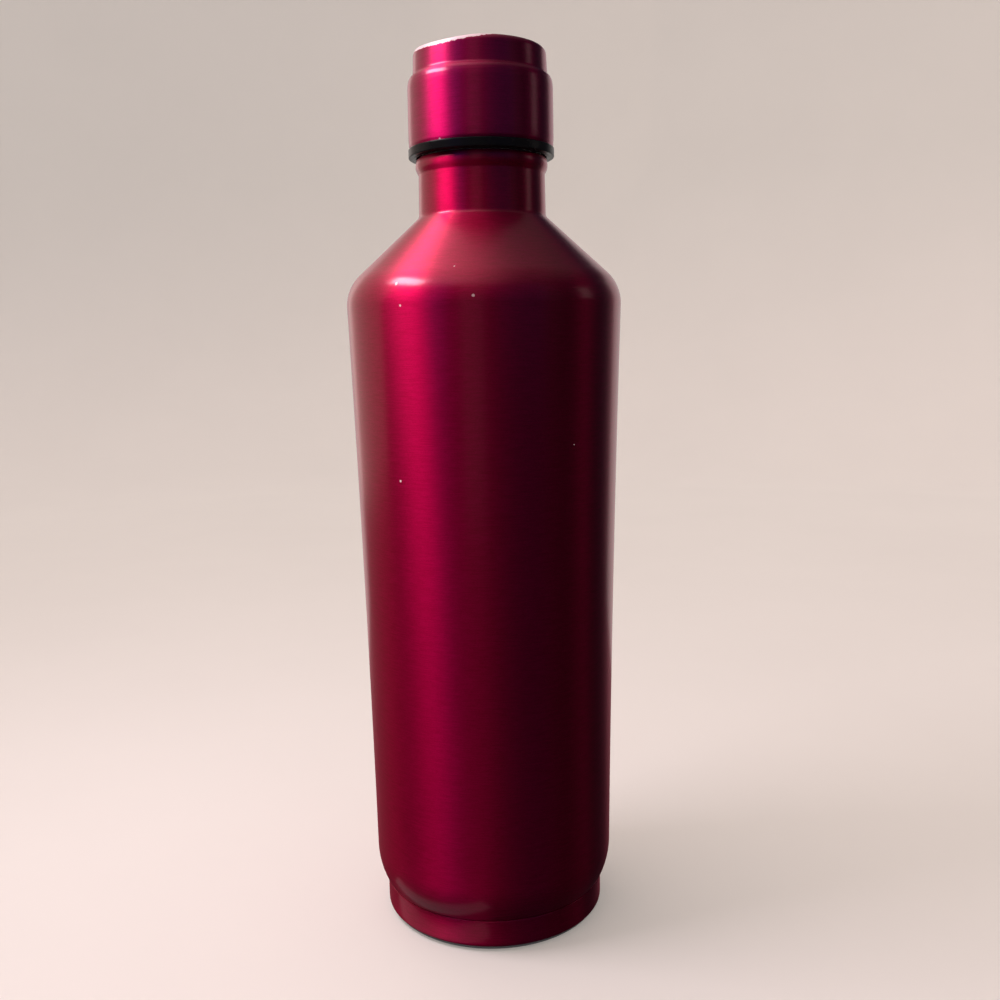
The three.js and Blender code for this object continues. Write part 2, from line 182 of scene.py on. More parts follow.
@dataclass(frozen=True)
class Thread:
    """A right-hand screw ridge, wound anticlockwise and upwards round the axis."""

    root: float
    crest: float
    start_height: float
    turns: float
    start_azimuth: float = 90.0  # degrees from -Y towards +X
    lead: float = THREAD_LEAD
    root_half: float = 1.1
    crest_half: float = 0.5
    buried: float = 0.3
    run_out: float = 27.0  # degrees over which each end fades
    steps_per_turn: int = 96

    def mesh(self) -> bmesh.types.BMesh:
        """The ridge as a closed mesh in metres, its foot buried in the wall."""
        outward = 1 if self.crest > self.root else -1
        foot = self.root - outward * self.buried
        corners = [
            (foot, -self.root_half),
            (self.crest, -self.crest_half),
            (self.crest, self.crest_half),
            (foot, self.root_half),
        ]
        start = math.radians(self.start_azimuth)
        bm = bmesh.new()
        verts = [
            bm.verts.new((r * math.sin(start), -r * math.cos(start), self.start_height + h))
            for r, h in corners
        ]
        face = bm.faces.new(verts)
        steps = round(self.turns * self.steps_per_turn)
        rise = Vector((0, 0, self.lead / self.steps_per_turn))
        bmesh.ops.spin(
            bm,
            geom=[face, *face.edges, *face.verts],
            cent=(0, 0, 0),
            axis=(0, 0, 1),
            dvec=rise,
            angle=TURN * steps / self.steps_per_turn,
            steps=steps,
            use_merge=False,
        )
        self._fade_ends(bm, foot)
        bmesh.ops.transform(bm, matrix=Matrix.Scale(MM, 4), verts=bm.verts)
        bmesh.ops.recalc_face_normals(bm, faces=bm.faces)
        return bm

    def _fade_ends(self, bm: bmesh.types.BMesh, foot: float) -> None:
        """Draws both ends of the ridge back towards the wall.

        Args:
            bm: The ridge, in millimetres, changed in place.
            foot: Radius of the buried foot, in millimetres.
        """
        sweep = self.turns * 360
        for vert in bm.verts:
            azimuth = math.degrees(math.atan2(vert.co.x, -vert.co.y)) - self.start_azimuth
            height_angle = 360 * (vert.co.z - self.start_height) / self.lead
            wound = azimuth + 360 * round((height_angle - azimuth) / 360)
            full = min(1.0, max(0.25, min(wound, sweep - wound) / self.run_out))
            radius = vert.co.xy.length
            vert.co.xy *= (foot + (radius - foot) * full) / radius


def fused(main: bmesh.types.BMesh, other: bmesh.types.BMesh) -> bmesh.types.BMesh:
    """Joins two closed meshes into one closed mesh.

    Args:
        main: The larger mesh. It is used up.
        other: The mesh that is joined to it. It is used up.

    Returns:
        A new mesh with the outer surface of both.
    """
    objects = []
    for name, part in (("main", main), ("other", other)):
        mesh = bpy.data.meshes.new(name)
        part.to_mesh(mesh)
        part.free()
        objects.append(bpy.data.objects.new(name, mesh))
        bpy.context.scene.collection.objects.link(objects[-1])
    cut = objects[0].modifiers.new("join", "BOOLEAN")
    cut.operation, cut.solver, cut.object = "UNION", "EXACT", objects[1]
    depsgraph = bpy.context.evaluated_depsgraph_get()
    joined = bpy.data.meshes.new_from_object(objects[0].evaluated_get(depsgraph))
    bm = bmesh.new()
    bm.from_mesh(joined)
    for item in objects:
        mesh = item.data
        bpy.data.objects.remove(item)
        bpy.data.meshes.remove(mesh)
    bpy.data.meshes.remove(joined)
    return bm


# ------------------------------------------------------------------ shader graphs


Value = Union[float, "Wire"]


class Wire:
    """A shader socket that can be used in Python arithmetic."""

    def __init__(self, graph: "Graph", socket: bpy.types.NodeSocket) -> None:
        """Keeps the socket and the graph that it belongs to."""
        self.graph = graph
        self.socket = socket

    def __add__(self, other: Value) -> "Wire":
        """Sum."""
        return self.graph.math("ADD", self, other)

    def __sub__(self, other: Value) -> "Wire":
        """Difference."""
        return self.graph.math("SUBTRACT", self, other)

    def __rsub__(self, other: Value) -> "Wire":
        """Difference, with the number first."""
        return self.graph.math("SUBTRACT", other, self)

    def __mul__(self, other: Value) -> "Wire":
        """Product."""
        return self.graph.math("MULTIPLY", self, other)

    def __truediv__(self, other: Value) -> "Wire":
        """Quotient."""
        return self.graph.math("DIVIDE", self, other)

    def __neg__(self) -> "Wire":
        """Opposite."""
        return self.graph.math("MULTIPLY", self, -1.0)

    def __abs__(self) -> "Wire":
        """Size without the sign."""
        return self.graph.math("ABSOLUTE", self)

    __radd__ = __add__
    __rmul__ = __mul__


class Graph:
    """The node tree of one material or of the world."""

    # The Mix node has sockets for numbers, vectors and colours; these are the colour ones.
    MIX_FACTOR, MIX_FIRST, MIX_SECOND, MIX_RESULT = 0, 6, 7, 2

    def __init__(self, tree: bpy.types.NodeTree) -> None:
        """Empties the tree."""
        self.tree = tree
        tree.nodes.clear()

    def node(self, kind: str, settings: dict | None = None, sockets: dict | None = None) -> bpy.types.Node:
        """Adds one node.

        Args:
            kind: The node's type.
            settings: Its own options, set first.
            sockets: Values or wires for its inputs, by name or number.

        Returns:
            The new node.
        """
        made = self.tree.nodes.new(kind)
        for name, value in (settings or {}).items():
            setattr(made, name, value)
        for name, value in (sockets or {}).items():
            target = made.inputs[name]
            if isinstance(value, Wire):
                self.tree.links.new(value.socket, target)
            else:
                target.default_value = value
        return made

    def wire(self, made: bpy.types.Node, output: int | str = 0) -> Wire:
        """The output socket of a node, ready for arithmetic."""
        return Wire(self, made.outputs[output])

    def math(self, operation: str, *values: Value) -> Wire:
        """One Math node."""
        sockets = dict(enumerate(values))
        return self.wire(self.node("ShaderNodeMath", {"operation": operation}, sockets))

    def smooth(self, value: Value, low: float, high: float) -> Wire:
        """0 below low and 1 above high, with a smooth step between, or the other way round."""
        sockets = {"Value": value, "From Min": low, "From Max": high}
        return self.wire(self.node("ShaderNodeMapRange", {"interpolation_type": "SMOOTHSTEP"}, sockets))

    def either(self, *masks: Wire) -> Wire:
        """The strongest of several masks."""
        strongest = masks[0]
        for mask in masks[1:]:
            strongest = self.math("MAXIMUM", strongest, mask)
        return strongest

    def mix(self, factor: Value, first: "Colour | Wire", second: "Colour | Wire") -> Wire:
        """A blend of two colours.

        Args:
            factor: 0 for the first colour, 1 for the second.
            first: The first colour.
            second: The second colour.

        Returns:
            The blended colour.
        """
        first, second = (c if isinstance(c, Wire) else (*c, 1.0) for c in (first, second))
        settings = {"data_type": "RGBA", "clamp_factor": True}
        sockets = {self.MIX_FACTOR: factor, self.MIX_FIRST: first, self.MIX_SECOND: second}
        return self.wire(self.node("ShaderNodeMix", settings, sockets), self.MIX_RESULT)

    def place(self) -> Wire:
        """The point on the piece, in metres in the model's frame."""
        return self.wire(self.node("ShaderNodeTexCoord"), "Object")

    def axes(self, vector: Wire) -> tuple[Wire, Wire, Wire]:
        """The three numbers of a vector."""
        parts = self.node("ShaderNodeSeparateXYZ", sockets={0: vector})
        return self.wire(parts, 0), self.wire(parts, 1), self.wire(parts, 2)

    def scaled(self, vector: Wire, factors: tuple[float, float, float]) -> Wire:
        """A vector with each of its numbers multiplied."""
        settings = {"operation": "MULTIPLY"}
        return self.wire(self.node("ShaderNodeVectorMath", settings, {0: vector, 1: factors}))

    def noise(self, vector: Wire, scale: float, detail: float = 3.0, rough: float = 0.55) -> Wire:
        """Soft noise from 0 to 1."""
        sockets = {"Vector": vector, "Scale": scale, "Detail": detail, "Roughness": rough}
        return self.wire(self.node("ShaderNodeTexNoise", {"noise_dimensions": "3D"}, sockets), 0)

    def bump(self, height: Wire, distance: float) -> Wire:
        """A normal bent by a height, in metres."""
        sockets = {"Height": height, "Distance": distance, "Strength": 1.0}
        return self.wire(self.node("ShaderNodeBump", None, sockets), "Normal")

    def surface(self, sockets: dict) -> None:
        """Ends the graph in one Principled shader with these sockets."""
        shader = self.node("ShaderNodeBsdfPrincipled", {"distribution": "GGX"}, sockets)
        self.node("ShaderNodeOutputMaterial", None, {"Surface": self.wire(shader)})


# ------------------------------------------------------------------ finishes


@dataclass(frozen=True)
class Finish:
    """A finish makes one material, and remembers the record's slot for it."""

    title: str
    slot: str

    def material(self) -> bpy.types.Material:
        """The finish's material, made the first time it is asked for."""
        known = bpy.data.materials.get(self.title)
        if known:
            return known
        made = bpy.data.materials.new(self.title)
        made.use_nodes = True
        self.dress(Graph(made.node_tree))
        return made

    def dress(self, graph: Graph) -> None:
        """Fills the material's graph."""
        raise NotImplementedError


@dataclass(frozen=True)
class WornBand:
    """A stretch of the side where small chips gather, most of all in its middle."""

    azimuth: float  # of its middle, in degrees
    half_width: float  # in degrees
    height: float  # of its middle, in millimetres
    half_height: float
    share: float = 0.35  # how many of the cells in the middle hold a chip
    cells: float = 230.0  # per metre
    chip: float = 0.13  # size of a chip, as a share of its cell


@dataclass(frozen=True)
class WornRim:
    """A crescent of bare metal along an upper edge."""

    azimuth: float  # of its middle, in degrees
    half_width: float  # in degrees
    low: float  # height of its lower edge in the middle, in millimetres
    high: float
    inner: float  # distance from the axis where the wear ends on the flat top


@dataclass(frozen=True)
class CandyLacquer(Finish):
    """Translucent crimson lacquer over brushed steel, with a clear coat and small chips."""

    dye: Colour = (0.58, 0.002, 0.075)
    deep_dye: Colour = (0.44, 0.001, 0.045)
    bare: Colour = (0.85, 0.66, 0.7)
    speck_cells: float = 150.0  # per metre
    speck_share: float = 0.04
    roughness: float = 0.46
    brush_depth: float = 2.5e-6  # metres
    coat: float = 0.6
    ragged: float = 1.4  # how far a worn border wanders, in millimetres
    band_depth: float = 0.7  # 1 reaches bare steel
    worn_bands: tuple[WornBand, ...] = ()
    worn_rim: WornRim | None = None

    def dress(self, graph: Graph) -> None:
        """Brushed metal under dye, then chips, then the coat."""
        place = graph.place()
        lines = graph.noise(graph.scaled(place, (220, 220, 2600)), 1.0, detail=4, rough=0.6)
        flakes = graph.noise(graph.scaled(place, (2200, 2200, 3600)), 1.0, detail=2)
        cloud = graph.noise(place, 30, detail=4)
        bare = self._bare(graph, place)
        tone = graph.smooth(lines * 0.55 + flakes * 0.45, 0.33, 0.67)
        dye = graph.mix(tone, self.deep_dye, self.dye)
        graph.surface({
            "Base Color": graph.mix(bare, dye, self.bare),
            "Metallic": 1 - bare * 0.6,
            "Roughness": lines * 0.08 + cloud * 0.06 + self.roughness,
            "Normal": graph.bump(lines * 0.6 + flakes * 0.4, self.brush_depth),
            "Anisotropic": 0.9,
            "Anisotropic Rotation": 0.25,
            "Coat Weight": (1 - bare) * self.coat,
            "Coat Roughness": 0.2,
            "Coat IOR": 1.45,
        })

    def _bare(self, graph: Graph, place: Wire) -> Wire:
        """Where the lacquer is gone: scattered specks, worn stretches and the worn rim.

        Args:
            graph: The material's graph.
            place: The point on the piece.

        Returns:
            1 on bare metal and 0 on whole lacquer.
        """
        x, y, z = graph.axes(place)
        sockets = {"Vector": place, "Scale": self.speck_cells, "Randomness": 1.0}
        cells = graph.node("ShaderNodeTexVoronoi", {"feature": "F1"}, sockets)
        pick, size, _ = graph.axes(graph.wire(cells, "Color"))
        rare = graph.math("LESS_THAN", pick, self.speck_share)
        grain = graph.noise(place, 900, detail=3)
        reach = size * 0.04 + grain * 0.05
        masks = [graph.math("LESS_THAN", graph.wire(cells, "Distance"), reach) * rare]
        azimuth = graph.math("ARCTAN2", x, -y)
        masks += [self._worn_band(graph, band, place, azimuth, grain) for band in self.worn_bands]
        if self.worn_rim:
            off_axis = graph.math("SQRT", x * x + y * y) * PER_METRE + grain * self.ragged
            outside = graph.math("GREATER_THAN", off_axis, self.worn_rim.inner)
            masks.append(self._worn_rim(graph, self.worn_rim, azimuth, z, grain) * outside)
        return graph.either(*masks)

    def _worn_band(self, graph: Graph, band: WornBand, place: Wire, azimuth: Wire, grain: Wire) -> Wire:
        """The mask of the chips in one stretch.

        Args:
            graph: The material's graph.
            band: The stretch.
            place: The point on the piece.
            azimuth: Azimuth of the point, in radians.
            grain: Noise that makes the chips ragged.

        Returns:
            band_depth on a chip and 0 on whole lacquer.
        """
        sockets = {"Vector": place, "Scale": band.cells, "Randomness": 1.0}
        cells = graph.node("ShaderNodeTexVoronoi", {"feature": "F1"}, sockets)
        pick, size, _ = graph.axes(graph.wire(cells, "Color"))
        up = (graph.axes(place)[2] * PER_METRE - band.height) / band.half_height
        across = (azimuth - math.radians(band.azimuth)) / math.radians(band.half_width)
        share = (1 - up * up - across * across) * band.share
        chosen = graph.math("LESS_THAN", pick, share)
        reach = (size * 0.7 + 0.3) * (grain + 0.5) * band.chip
        chip = graph.math("LESS_THAN", graph.wire(cells, "Distance"), reach)
        return chip * chosen * self.band_depth

    def _worn_rim(self, graph: Graph, rim: WornRim, azimuth: Wire, z: Wire, grain: Wire) -> Wire:
        """The mask of a worn upper edge, with a ragged lower border.

        Args:
            graph: The material's graph.
            rim: The worn crescent.
            azimuth: Azimuth of the point, in radians.
            z: Height of the point, in metres.
            grain: Noise that makes the border ragged.

        Returns:
            1 on bare metal and 0 on lacquer.
        """
        across = (azimuth - math.radians(rim.azimuth)) / math.radians(rim.half_width)
        inside = 1 - across * across
        border = rim.high - inside * (rim.high - rim.low) + (grain - 0.5) * self.ragged
        above = graph.math("GREATER_THAN", z * PER_METRE, border)
        return above * graph.math("GREATER_THAN", inside, 0.0)


@dataclass(frozen=True)
class SpunSteel(Finish):
    """Bare metal with the fine rings that spinning leaves."""

    tint: Colour = (0.62, 0.61, 0.59)
    roughness: float = 0.24
    stain: float = 0.1

    def dress(self, graph: Graph) -> None:
        """Rings along the axis, with faint stains."""
        place = graph.place()
        rings = graph.noise(graph.scaled(place, (30, 30, 6000)), 1.0, detail=4, rough=0.7)
        stains = graph.noise(place, 55, detail=4)
        shade = graph.smooth(stains * self.stain * 4 + rings * 0.4, 0.1, 0.9)
        dark = tuple(c * 0.72 for c in self.tint)
        graph.surface({
            "Base Color": graph.mix(shade, dark, self.tint),
            "Metallic": 1.0,
            "Roughness": rings * 0.14 + stains * 0.1 + self.roughness,
            "Normal": graph.bump(rings, 3e-6),
            "Anisotropic": 0.6,
            "Anisotropic Rotation": 0.25,
        })


@dataclass(frozen=True)
class MouldedPolymer(Finish):
    """Moulded plastic, rubber or foam: a flat colour broken by grain, mottle and scuffs."""

    tint: Colour = (0.02, 0.02, 0.022)
    scuff: Colour = (0.08, 0.08, 0.08)
    roughness: float = 0.35
    grain_size: float = 0.25  # millimetres
    grain_depth: float = 0.01  # millimetres
    softness: float = 0.0  # how far light goes in, as a share
    shine: float = 0.5

    def dress(self, graph: Graph) -> None:
        """Grain in the bump, mottle in the colour and gloss."""
        place = graph.place()
        grain = graph.noise(place, PER_METRE / self.grain_size, detail=3)
        mottle = graph.noise(place, 90, detail=4)
        scuffs = graph.noise(graph.scaled(place, (260, 260, 900)), 1.0, detail=6, rough=0.75)
        worn = graph.smooth(scuffs, 0.62, 0.78)
        dark, pale = (tuple(c * factor for c in self.tint) for factor in (0.8, 1.2))
        shade = graph.mix(mottle, dark, pale)
        graph.surface({
            "Base Color": graph.mix(worn * 0.6, shade, self.scuff),
            "Roughness": mottle * 0.16 + worn * 0.15 + self.roughness,
            "Normal": graph.bump(grain, self.grain_depth * MM),
            "Specular IOR Level": self.shine,
            "Subsurface Weight": self.softness,
            "Subsurface Radius": (0.004, 0.004, 0.004),
        })


@dataclass(frozen=True)
class SealGlass(Finish):
    """Melted grey glass."""

    def dress(self, graph: Graph) -> None:
        """Glass with small bubbles in the bump."""
        bubbles = graph.noise(graph.place(), 1500, detail=2)
        graph.surface({
            "Base Color": graph.mix(bubbles, (0.3, 0.34, 0.38), (0.5, 0.54, 0.58)),
            "Roughness": bubbles * 0.1 + 0.05,
            "Normal": graph.bump(bubbles, 2e-5),
            "Transmission Weight": 0.6,
            "IOR": 1.52,
        })


class Slot(Enum):
    """The record's material slots."""

    LACQUER = "lacquered_steel"
    STEEL = "bare_steel"
    COPPER = "copper_foil"
    GETTER = "getter_alloy"
    GLASS = "seal_glass"
    ADHESIVE = "adhesive"
    RUBBER = "black_rubber"
    BLACK = "black_plastic"
    WHITE = "white_plastic"
    FOAM = "foam"
    SILICONE = "silicone"


BODY_LACQUER = CandyLacquer(
    "crimson_lacquer_body",
    Slot.LACQUER.value,
    worn_bands=(
        WornBand(azimuth=-20, half_width=45, height=210, half_height=10),
        WornBand(azimuth=-35, half_width=25, height=120, half_height=60, share=0.06),
    ),
)
FOOT_LACQUER = CandyLacquer("crimson_lacquer_foot", Slot.LACQUER.value)
CAP_LACQUER_WITH_PAINTED_BLUE = CandyLacquer(
    "crimson_lacquer_cap_with_painted_blue",
    Slot.LACQUER.value,
    # The cap's dye is bluer than the body's. Its crimson is the lacquer's own colour, and the extra blue
    # is a painted reflection of the blue-violet light that the cap catches.
    dye=(0.56, 0.004, 0.11),
    deep_dye=(0.42, 0.002, 0.07),
    worn_bands=(WornBand(azimuth=-30, half_width=45, height=258, half_height=4),),
    worn_rim=WornRim(azimuth=-42.0, half_width=56.0, low=286.3, high=288.5, inner=20.1),
)
BARE_STEEL = SpunSteel("bare_steel", Slot.STEEL.value)
COPPER = SpunSteel("copper_foil", Slot.COPPER.value, tint=(0.72, 0.36, 0.2), roughness=0.2)
BLACK_PLASTIC = MouldedPolymer(
    "black_polypropylene", Slot.BLACK.value,
    tint=(0.003, 0.003, 0.0035), scuff=(0.01, 0.01, 0.01), roughness=0.2, shine=0.1,
)
WHITE_PLASTIC = MouldedPolymer(
    "white_polypropylene", Slot.WHITE.value,
    tint=(0.72, 0.72, 0.7), scuff=(0.6, 0.6, 0.58), softness=0.2,
)
BLACK_RUBBER = MouldedPolymer(
    "black_rubber", Slot.RUBBER.value,
    tint=(0.016, 0.016, 0.017), roughness=0.62, grain_size=0.5, grain_depth=0.04,
)
SILICONE = MouldedPolymer(
    "grey_silicone", Slot.SILICONE.value,
    tint=(0.6, 0.6, 0.58), scuff=(0.7, 0.7, 0.68), roughness=0.45, softness=0.35,
)
FOAM = MouldedPolymer(
    "cream_foam", Slot.FOAM.value,
    tint=(0.78, 0.73, 0.6), scuff=(0.65, 0.6, 0.48), roughness=0.8, grain_size=0.8, grain_depth=0.12,
)
ADHESIVE = MouldedPolymer(
    "cured_adhesive", Slot.ADHESIVE.value,
    tint=(0.66, 0.6, 0.4), scuff=(0.5, 0.45, 0.3), roughness=0.3, softness=0.2,
)
GETTER_ALLOY = MouldedPolymer(
    "getter_alloy", Slot.GETTER.value,
    tint=(0.16, 0.16, 0.17), scuff=(0.3, 0.3, 0.3), roughness=0.6, grain_size=0.15, grain_depth=0.03,
)
SEAL_GLASS = SealGlass("seal_glass", Slot.GLASS.value)


# ------------------------------------------------------------------ sub-assemblies


class SubAssembly:
    """Pieces that ride on one or more bodies."""

    def add(
        self, name: str, bm: bmesh.types.BMesh, finish: Finish, body: str, *nodes: str, sharp: float = 40.0
    ) -> bpy.types.Object:
        """Makes a piece from a mesh, puts it on its body and hides the nodes that it stands for.

        Args:
            name: The piece's name.
            bm: Its mesh, in metres in the model's frame. It is used up.
            finish: Its finish.
            body: The body it moves with.
            nodes: The nodes that it replaces.
            sharp: Edges that turn by more than this many degrees stay sharp.

        Returns:
            The new object.
        """
        mesh = bpy.data.meshes.new(name)
        bm.to_mesh(mesh)
        bm.free()
        mesh.shade_smooth()
        mesh.set_sharp_from_angle(angle=math.radians(sharp))
        mesh.materials.append(finish.material())
        piece = bpy.data.objects.new(name, mesh)
        bpy.context.scene.collection.objects.link(piece)
        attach(piece, body)
        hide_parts(*nodes)
        LOG.info("%s: %d faces, on %s, for %s", name, len(mesh.polygons), body, ", ".join(nodes))
        return piece

    def dress(self, node: str, finish: Finish) -> None:
        """Gives a carried-over node its finish.

        Args:
            node: The node's name.
            finish: Its finish.
        """
        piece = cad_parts[node]
        material = finish.material()
        if not piece.material_slots:
            piece.data.materials.append(material)
        for slot in piece.material_slots:
            slot.material = material
        LOG.info("%s: kept, now %s", node, finish.title)


@dataclass
class Flask(SubAssembly):
    """The lacquered shell, the steel liner and the mouth with its thread."""

    body: str = "bottle"
    shell_wall: float = 0.55
    liner_wall: float = 0.5
    vacuum_gap: float = 3.6
    low_radius: float = 41.05
    low_height: float = 30.0
    taper: float = 0.0125
    shoulder_height: float = 208.3
    shoulder_round: float = 13.5
    shoulder_slope: float = 42.5
    foot_round: float = 25.0
    foot_round_top: float = 23.1
    foot_round_angle: float = 27.0
    neck_low: float = 20.75
    neck_high: float = 20.55
    neck_top: float = 249.9
    neck_fillet: float = 2.0
    bead_radius: float = 21.5
    bead_top: float = 254.95
    mouth_radius: float = 19.7
    bore_radius: float = 18.9
    throat_radius: float = 18.2
    collar_bottom: float = 236.0
    land_bottom: float = 250.5
    land_taper: float = 2.0
    side_steps: int = 10
    foot_margin: float = 4.0  # how far below low_height the side begins
    shoulder_margin: float = 6.0  # how far below the shoulder it ends
    curl_inner: float = 36.8
    curl_outer: float = 37.5
    thread_start: float = 258.5
    thread_turns: float = 1.6

    def __post_init__(self) -> None:
        """Takes the overall sizes from the frame."""
        low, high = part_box("outer_shell")
        self.widest = high.x / MM
        self.curl_bottom = low.z / MM
        self.mouth_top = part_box("mouth_collar")[1].z / MM
        self.liner_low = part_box("inner_liner")[0].z / MM
        self.inset = self.shell_wall + self.vacuum_gap

    def radius_at(self, height: float) -> float:
        """Radius of the lacquered side at a height.

        Args:
            height: Height above the ground, in millimetres.

        Returns:
            The radius there, in millimetres.
        """
        span = self.shoulder_height - self.low_height
        flare = (self.widest - self.low_radius - self.taper * span) / span**2
        rise = height - self.low_height
        return self.low_radius + self.taper * rise + flare * rise**2

    def side(self, inset: float, low: float, high: float) -> Outline:
        """The straight-looking side of a wall, inset millimetres inside the lacquer."""
        heights = [low + (high - low) * i / self.side_steps for i in range(self.side_steps + 1)]
        return [(self.radius_at(h) - inset, h) for h in heights]

    def shoulder(self, inset: float, neck: float, fillet: float) -> Outline:
        """Shoulder curve, cone and neck fillet of a wall.

        Args:
            inset: How far inside the lacquered surface the wall lies.
            neck: The radius that the cone runs in to.
            fillet: Radius of the hollow corner at the foot of the neck.

        Returns:
            The outline from the top of the side to the start of the neck.
        """
        centre = (self.widest - self.shoulder_round, self.shoulder_height)
        lean = 90 - self.shoulder_slope
        curve = arc(centre, self.shoulder_round - inset, 0, lean, 14)
        cone_radius, cone_height = curve[-1]
        touch = neck + fillet * (1 - math.cos(math.radians(lean)))
        top = cone_height + (cone_radius - touch) * math.tan(math.radians(self.shoulder_slope))
        cone = [
            (cone_radius + (touch - cone_radius) * i / 6, cone_height + (top - cone_height) * i / 6)
            for i in range(1, 6)
        ]
        hollow = (neck + fillet, top + fillet * math.sin(math.radians(lean)))
        return curve + cone + arc(hollow, fillet, 180 + lean, 180, 6)

    def foot(self, inset: float) -> Outline:
        """The long curve from the foot's notch up to the side."""
        centre = (self.radius_at(self.foot_round_top) - self.foot_round, self.foot_round_top)
        return arc(centre, self.foot_round - inset, -self.foot_round_angle, 0, 12)

    def build(self) -> None:
        """Builds the shell, the liner, its bottom and the mouth."""
        self._painted_shell()
        self._liner()
        self._liner_bottom()
        self._mouth()

    def _painted_shell(self) -> None:
        """The lacquered outer shell, from the curl above the foot to the bead under the cap."""
        widest, top, crease = self.bead_radius, self.bead_top, self.neck_top
        bead = rounded([
            (self.neck_high, crease),
            (widest - 0.12, crease + 1.7),
            (widest, top - 2),
            (widest - 0.35, top - 0.45),
            (widest - 1.1, top),
        ], 0.9)
        inner_neck = self.neck_high - self.shell_wall
        foot = self.foot(0)
        curl = [(self.curl_inner, self.curl_bottom), (self.curl_outer, self.curl_bottom)]
        lip = rounded([*curl, *foot[:2]], 0.5)
        side_low = self.low_height - self.foot_margin
        side_high = self.shoulder_height - self.shoulder_margin
        outside = [
            *lip[:-1],
            *foot[1:],
            *self.side(0, side_low, side_high),
            *self.shoulder(0, self.neck_low, self.neck_fillet),
            *bead,
        ]
        inside = [
            *self.foot(self.shell_wall),
            *self.side(self.shell_wall, side_low, side_high),
            *self.shoulder(self.shell_wall, inner_neck, self.neck_fillet + self.shell_wall),
            (inner_neck, bead[-1][1]),
        ]
        bm = turned(outside + inside[::-1], Form.RING)
        self.add("painted_shell", bm, BODY_LACQUER, self.body, "outer_shell", sharp=35)

    def _liner(self) -> None:
        """The steel wall that holds the drink."""
        weld = self.collar_bottom - 0.1
        inner = self.inset + self.liner_wall
        side_high = self.shoulder_height - self.shoulder_margin
        outside = [
            *self.side(self.inset, self.liner_low, side_high),
            *self.shoulder(self.inset, self.throat_radius + self.liner_wall, self.neck_fillet),
            (self.throat_radius + self.liner_wall, weld),
        ]
        inside = [
            *self.side(inner, self.liner_low, side_high),
            *self.shoulder(inner, self.throat_radius, self.neck_fillet + self.liner_wall),
            (self.throat_radius, weld),
        ]
        bm = turned(outside + inside[::-1], Form.RING, steps=96)
        self.add("liner_wall", bm, BARE_STEEL, self.body, "inner_liner")

    def _liner_bottom(self) -> None:
        """The dished disc at the bottom of the liner."""
        low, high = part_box("liner_bottom")
        rim, top, bottom = high.x / MM, high.z / MM, low.z / MM
        round_over = top - bottom
        centre = (rim - round_over, top)
        under = arc(centre, round_over, -90, 0, 10)
        over = arc(centre, round_over - self.liner_wall, -90, 0, 10)
        outline = [(0, bottom), *under, *over[::-1], (0, bottom + self.liner_wall)]
        bm = turned(outline, Form.ON_AXIS, 96)
        self.add("liner_dish", bm, BARE_STEEL, self.body, "liner_bottom")

    def _mouth(self) -> None:
        """The collar with the throat, the screw thread and the rolled lip."""
        throat_out = self.throat_radius + self.liner_wall
        narrow = self.land_bottom - self.land_taper
        half = (self.mouth_radius - self.bore_radius) / 2
        lip = arc((self.bore_radius + half, self.mouth_top - half), half, 0, 180, 8)
        outside = rounded([
            (throat_out, self.collar_bottom),
            (throat_out, narrow),
            (self.mouth_radius, self.land_bottom),
            lip[0],
        ], 0.6)
        inside = rounded([
            lip[-1],
            (self.bore_radius, self.land_bottom),
            (self.throat_radius, narrow),
            (self.throat_radius, self.collar_bottom),
        ], 0.6)
        collar = turned(laddered(outside[:-1] + lip) + inside[1:], Form.RING, steps=96)
        crest = self.mouth_radius + THREAD_DEPTH
        ridge = Thread(self.mouth_radius, crest, self.thread_start, self.thread_turns)
        bm = fused(collar, ridge.mesh())
        self.add("threaded_mouth", bm, BARE_STEEL, self.body, "mouth_collar", sharp=30)


